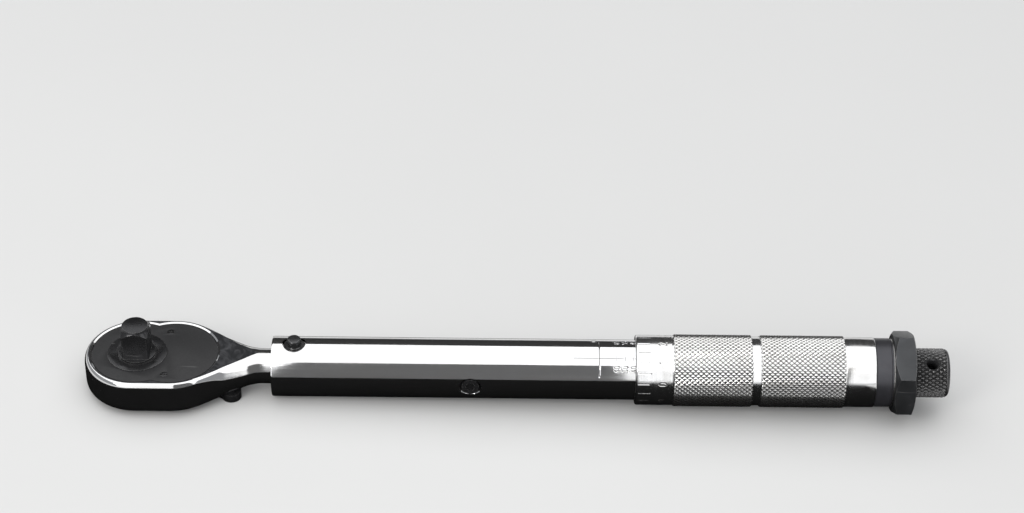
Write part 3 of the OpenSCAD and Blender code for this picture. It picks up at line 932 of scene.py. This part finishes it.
def sleeve_core():
    """Thimble, plain groove and collar, with the bore that runs over the tube."""
    x0, x1 = SLEEVE_X
    bore = TUBE_R + 0.08 * MM
    core = KNURL_R - KNURL_DEPTH - 0.1 * MM
    arc = THIMBLE_R * math.radians(1)
    strokes = []
    divisions = 20
    for k in range(divisions):
        a = (15.5 + k * 360 / divisions) % 360 * arc
        length = 3.9 * MM if k % 2 == 0 else 4.4 * MM
        strokes.append([(x0 + 0.9 * MM, a), (x0 + 0.9 * MM + length, a)])
        if k % 2 == 0:
            strokes += number_strokes(str(k // 2), x0 + 9.4 * MM, a, 2.8 * MM)
    bevel = 0.5 * MM
    before = [(x0 + 0.6 * MM, bore), (x0, bore + bevel), (x0, THIMBLE_R - bevel),
              (x0 + 0.15 * MM, THIMBLE_R - 0.2 * MM)]
    step = 0.12 * MM
    groove_r = THIMBLE_R - 0.2 * MM
    after = [(KNURL_A[0] - 0.3 * MM, THIMBLE_R - step), (KNURL_A[0], core), (KNURL_A[1], core),
             (KNURL_A[1] + step, groove_r), (KNURL_B[0] - step, groove_r), (KNURL_B[0], core),
             (KNURL_B[1], core), (KNURL_B[1] + 0.05 * MM, THIMBLE_R - step),
             (KNURL_B[1] + 0.25 * MM, THIMBLE_R), (x1 - 0.4 * MM, THIMBLE_R),
             (x1 - 0.1 * MM, THIMBLE_R - 0.12 * MM), (x1, THIMBLE_R - 0.4 * MM),
             (x1, SCREW_BORE_R), (SLEEVE_STEP_X, SCREW_BORE_R), (SLEEVE_STEP_X, bore)]
    return stamped_ring("handle_core", before, after, x0 + 0.6 * MM, KNURL_A[0] - 0.45 * MM,
                        THIMBLE_R, strokes, 448, 0.11 * MM, GROUND, 0.4 * MM)


def lock_knob_shell():
    """The knob's plain core and shank, with the countersunk cross hole."""
    core, rear = KNOB_R - KNOB_DEPTH - 0.2 * MM, KNOB_END - KNOB_ROUND
    shank_r, shank_start = 3.0 * MM, low("lock_knob").x
    profile = [(shank_start, 0), (shank_start, shank_r), (KNOB_START, shank_r),
               (KNOB_START, core), (rear - 0.1 * MM, core), (rear, KNOB_R - 0.25 * MM)]
    for a in np.linspace(0.2, math.pi / 2, 7):
        profile.append((rear + KNOB_ROUND * math.sin(a),
                        KNOB_R - 0.25 * MM - KNOB_ROUND * (1 - math.cos(a))))
    profile += [(KNOB_END, 1.2 * MM), (KNOB_END - 0.7 * MM, 0)]
    piece = turned("lock_knob_shell", profile, [KNOB_OXIDE], around=144, sharp_angle=40)
    cut(piece, cross_cutter())
    return piece


def lock_knob_knurl():
    """The knob's coarse knurl, with the cross hole cut through it."""
    x1 = KNOB_END - KNOB_ROUND - 0.05 * MM
    piece = knurled("lock_knob_knurl", KNOB_START, x1, KNOB_R, KNOB_AROUND,
                    (x1 - KNOB_START) / KNOB_PITCH, KNOB_DEPTH, KNOB_R - KNOB_DEPTH - 0.3 * MM,
                    [KNOB_OXIDE], end_bevel=0.4 * MM, flat_top=0.5)
    cut(piece, cross_cutter())
    piece.data.polygons.foreach_set("use_smooth", [False] * len(piece.data.polygons))
    return piece


def cross_cutter():
    """Cutter for the knob's cross hole: a 4.3 mm bore with a countersink at each end."""
    r, sink_r = 2.15 * MM, 3.25 * MM
    mouth = KNOB_R - COUNTERSINK
    out = KNOB_R + 2 * MM
    spread = sink_r + 1.6 * MM
    profile = [(-out, spread), (-mouth, r), (mouth, r), (out, spread)]
    mount = next(m for m in frame["record"]["mounts"] if m["name"] == "tommy_bar_hole")
    centre, axis = Vector(mount["pos_m"]), Vector(mount["axis"]).normalized()
    side = Vector((1, 0, 0))
    up = axis.cross(side)
    count = 56
    verts = []
    for place, radius in profile:
        for a in ring_angles(count):
            verts.append(tuple(centre + axis * place + side * radius * math.cos(a)
                               + up * radius * math.sin(a)))
    faces = ring_faces(len(profile), count).tolist()
    faces.append(list(range(count)))
    faces.append([(len(profile) - 1) * count + j for j in reversed(range(count))])
    mesh = mesh_of("cross_cutter", verts, faces)
    outward(mesh)
    return finish_piece("cross_cutter", mesh, [])


def end_bush_shell():
    """Black bush with a step down to the washer behind it."""
    x0, x1 = low("end_bush").x, high("end_bush").x
    r, shoulder, washer = BUSH_R, 1.2 * MM, 0.5 * MM
    profile = [(x0, SCREW_BORE_R), (x0, r - 0.3 * MM), (x0 + 0.3 * MM, r), (x1 - shoulder, r),
               (x1 - shoulder + 0.2 * MM, r - 0.3 * MM), (x1 - washer, r - 0.3 * MM),
               (x1 - washer, SCREW_BORE_R)]
    return turned("end_bush_shell", profile, [BUSH], around=160)


def nut_washer():
    """Thin bright washer between the bush and the nut."""
    x1 = low("handle_nut").x
    x0, bore, r, edge = x1 - 0.45 * MM, 6.3 * MM, BUSH_R - 0.2 * MM, 0.1 * MM
    profile = [(x0, bore), (x0, r - edge), (x0 + edge, r), (x1 - edge, r), (x1, r - edge),
               (x1, bore)]
    return turned("nut_washer", profile, [STEEL], around=120)


# The knurls' second material paints shade into their grooves.
knurl_materials = [KNURL, groove_chrome()]
core_r = KNURL_R - KNURL_DEPTH - 0.25 * MM
for name, (x0, x1) in (("handle_knurl_front", KNURL_A), ("handle_knurl_rear", KNURL_B)):
    band = knurled(name, x0, x1, KNURL_R, KNURL_AROUND, (x1 - x0) / KNURL_PITCH, KNURL_DEPTH,
                   core_r, knurl_materials)
    install(band, "handle", "satin_chrome", "handle_sleeve")
install(sleeve_core(), "handle", "satin_chrome", "handle_sleeve")
install(end_bush_shell(), "handle", "black_plastic", "end_bush")
install(beveled("handle_nut", 0.25 * MM, [NUT_OXIDE]), "handle", "black_oxide", "handle_nut")
install(lock_knob_shell(), "knob", "black_oxide", "lock_knob")
install(lock_knob_knurl(), "knob", "black_oxide", "lock_knob")
install(nut_washer(), "handle", "bare_steel", "end_bush")


# ---------------------------------------------------------------- springs and inner parts

def friction_band():
    """Rubber ring inside the sleeve that steadies it on the tube."""
    x0, x1 = low("friction_ring").x, high("friction_ring").x
    inner, outer = TUBE_R + 0.06 * MM, high("friction_ring").y
    profile = [(x0, inner), (x0, outer), (x1, outer), (x1, inner)]
    return turned("friction_band", profile, [RUBBER])


def add_spring(node, body, start, end, radius, wire, turns, centre, direction):
    """Puts a coil in place of a spring's node, with a mesh of its own."""
    piece = coil(node + "_coil", start, end, radius, wire, turns, STEEL, centre, direction)
    install(piece, body, "bare_steel", node)
    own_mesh(piece)


install(friction_band(), "handle", "rubber", "friction_ring")
add_spring("main_spring", "tube_body", low("main_spring").x,
           high("main_spring").x, 7.5 * MM, 2.9 * MM, 7.5, (0, 0, AXIS_Z), (1, 0, 0))
add_spring("detent_spring", "drive", low("detent_spring").y,
           high("detent_spring").y, 1.35 * MM, 0.35 * MM, 4,
           (0, 0, centre_of("detent_spring", 2)), (0, 1, 0))
push = joint_row("pawl_plunger_press")["axis"]
add_spring("plunger_spring", "reverser", -2.2 * MM, 1.1 * MM,
           0.9 * MM, 0.25 * MM, 5, (SPINDLE_X, 0, centre_of("plunger_spring", 2)),
           [-v for v in push])

INNER = {
    "pivot_bush": BRONZE, "pawl_pin": STEEL, "detent_ball": STEEL,
    "lever_clip": STEEL, "pawl_plunger": STEEL, "pawl": STEEL,
    "tilt_block": STEEL, "thrust_plunger": STEEL, "spring_washer": STEEL, "spring_seat": STEEL,
    "thrust_ball": STEEL, "adjusting_screw": STEEL, "lock_rod": STEEL,
    "fixed_nut": STEEL, "nut_set_screws": OXIDE, "guide_screw": OXIDE,
}
for node, material in INNER.items():
    slots = frame["nodes"][node].material_slots
    for slot in slots:
        slot.material = material


# ---------------------------------------------------------------- stage, light and camera


def stage_plane(name, centre, size, rotation=(0, 0, 0)):
    bpy.ops.mesh.primitive_plane_add(size=1, location=centre, rotation=rotation)
    plane = bpy.context.object
    plane.name = name
    plane.scale = (*size, 1)
    return plane


def pale_floor():
    """The floor touches the nut's lower corner and the reverse lever, as the wrench lies on it."""
    nut, lever = low("handle_nut"), low("reverse_lever")
    slope = math.atan2(lever.z - nut.z, high("handle_nut").x - high("reverse_lever").x)
    middle = (high("handle_nut").x + high("reverse_lever").x) / 2
    height = (nut.z + lever.z) / 2 - 0.15 * MM
    floor = stage_plane("floor", (middle, 0, height), (8, 8), (0, slope, 0))
    s = Shader("pale_floor", (0.62, 0.62, 0.615), 0.0, 0.75)
    s.set("Specular IOR Level", 0.0)
    grain = s.noise(25, detail=5)
    s.link(s.mix(grain, (0.6, 0.6, 0.595), (0.65, 0.65, 0.645)), "Base Color")
    s.bump(s.noise(600, detail=3), 0.00005)
    floor.data.materials.append(s.material)
    return floor, slope


def dark_flag(name, centre, size, rotation, tone):
    """A card that only reflections see, to give the chrome its dark bands."""
    flag = stage_plane(name, centre, size, rotation)
    s = Shader(name, (tone, tone, tone), 0.0, 0.9)
    s.set("Specular IOR Level", 0.0)
    grain = s.noise(30, detail=2)
    s.link(s.mix(grain, (0.85 * tone,) * 3, (1.15 * tone,) * 3), "Base Color")
    flag.data.materials.append(s.material)
    flag.visible_camera = False
    flag.visible_diffuse = False
    flag.visible_shadow = False
    return flag


def softbox(name, place, target, size, power, color=(1, 1, 1)):
    light = bpy.data.lights.new(name, "AREA")
    light.shape = "RECTANGLE"
    light.size, light.size_y = size
    light.energy = power
    light.color = color
    lamp = bpy.data.objects.new(name, light)
    lamp.location = place
    lamp.rotation_euler = (Vector(target) - Vector(place)).to_track_quat("-Z", "Y").to_euler()
    lamp.visible_camera = False
    bpy.context.collection.objects.link(lamp)
    return lamp


VIEW_X = 130.4 * MM
middle = (VIEW_X, 0, AXIS_Z)
softbox("overhead", (VIEW_X, 0.05, 0.9), (VIEW_X, 0.05, 0), (2.2, 2.3), 18.5)
softbox("front", (VIEW_X, -1.5, 0.6), (VIEW_X, -0.1, 0.1), (2.8, 1.2), 10)
softbox("key", (VIEW_X - 0.8, -0.9, 0.9), middle, (0.5, 0.5), 5, (1, 0.98, 0.95))

# A card leans back behind the wrench, one stands in front of the tube, one lies under it all
back_lean, back_depth = math.radians(62), 84 * MM
back_foot = Vector((129 * MM, 35 * MM, 5 * MM))
up_the_card = Vector((0, math.cos(back_lean), math.sin(back_lean)))
dark_flag("back_flag", back_foot + up_the_card * back_depth / 2, (0.342, back_depth),
          (back_lean, 0, 0), 0.036)
dark_flag("front_flag", (103 * MM, -0.2, 0.12), (0.15, 0.3), (math.radians(-90), 0, 0), 0.19)
floor, slope = pale_floor()
under_x = 120 * MM
under_z = floor.location.z + math.tan(slope) * (floor.location.x - under_x) + 0.25 * MM
dark_flag("under_flag", (under_x, -0.14, under_z), (0.35, 0.39), (0, slope, 0), 0.008)

world = bpy.data.worlds.new("studio")
bpy.context.scene.world = world
world.use_nodes = True
world.node_tree.nodes["Background"].inputs["Color"].default_value = (0.9, 0.92, 0.95, 1)
world.node_tree.nodes["Background"].inputs["Strength"].default_value = 0.35
bpy.context.scene.view_settings.view_transform = "Standard"

FOCAL = 96.3  # lens in mm on a 36 mm sensor
DISTANCE = 0.96
SIGHT = math.radians(40)  # elevation of the line from the wrench to the camera
TILT = math.radians(37.66)  # how far the camera looks down
ROLL = math.radians(0.61)
camera_data = bpy.data.cameras.new("camera")
camera_data.lens = FOCAL
camera_data.sensor_width = 36
camera_data.clip_start, camera_data.clip_end = 0.01, 20
camera = bpy.data.objects.new("camera", camera_data)
camera.location = Vector(middle) + DISTANCE * Vector((0, -math.cos(SIGHT), math.sin(SIGHT)))
forward = Vector((0, math.cos(TILT), -math.sin(TILT)))
camera.rotation_mode = "QUATERNION"
turn = forward.to_track_quat("-Z", "Y")
camera.rotation_quaternion = Quaternion(forward, -ROLL) @ turn
bpy.context.collection.objects.link(camera)
bpy.context.scene.camera = camera
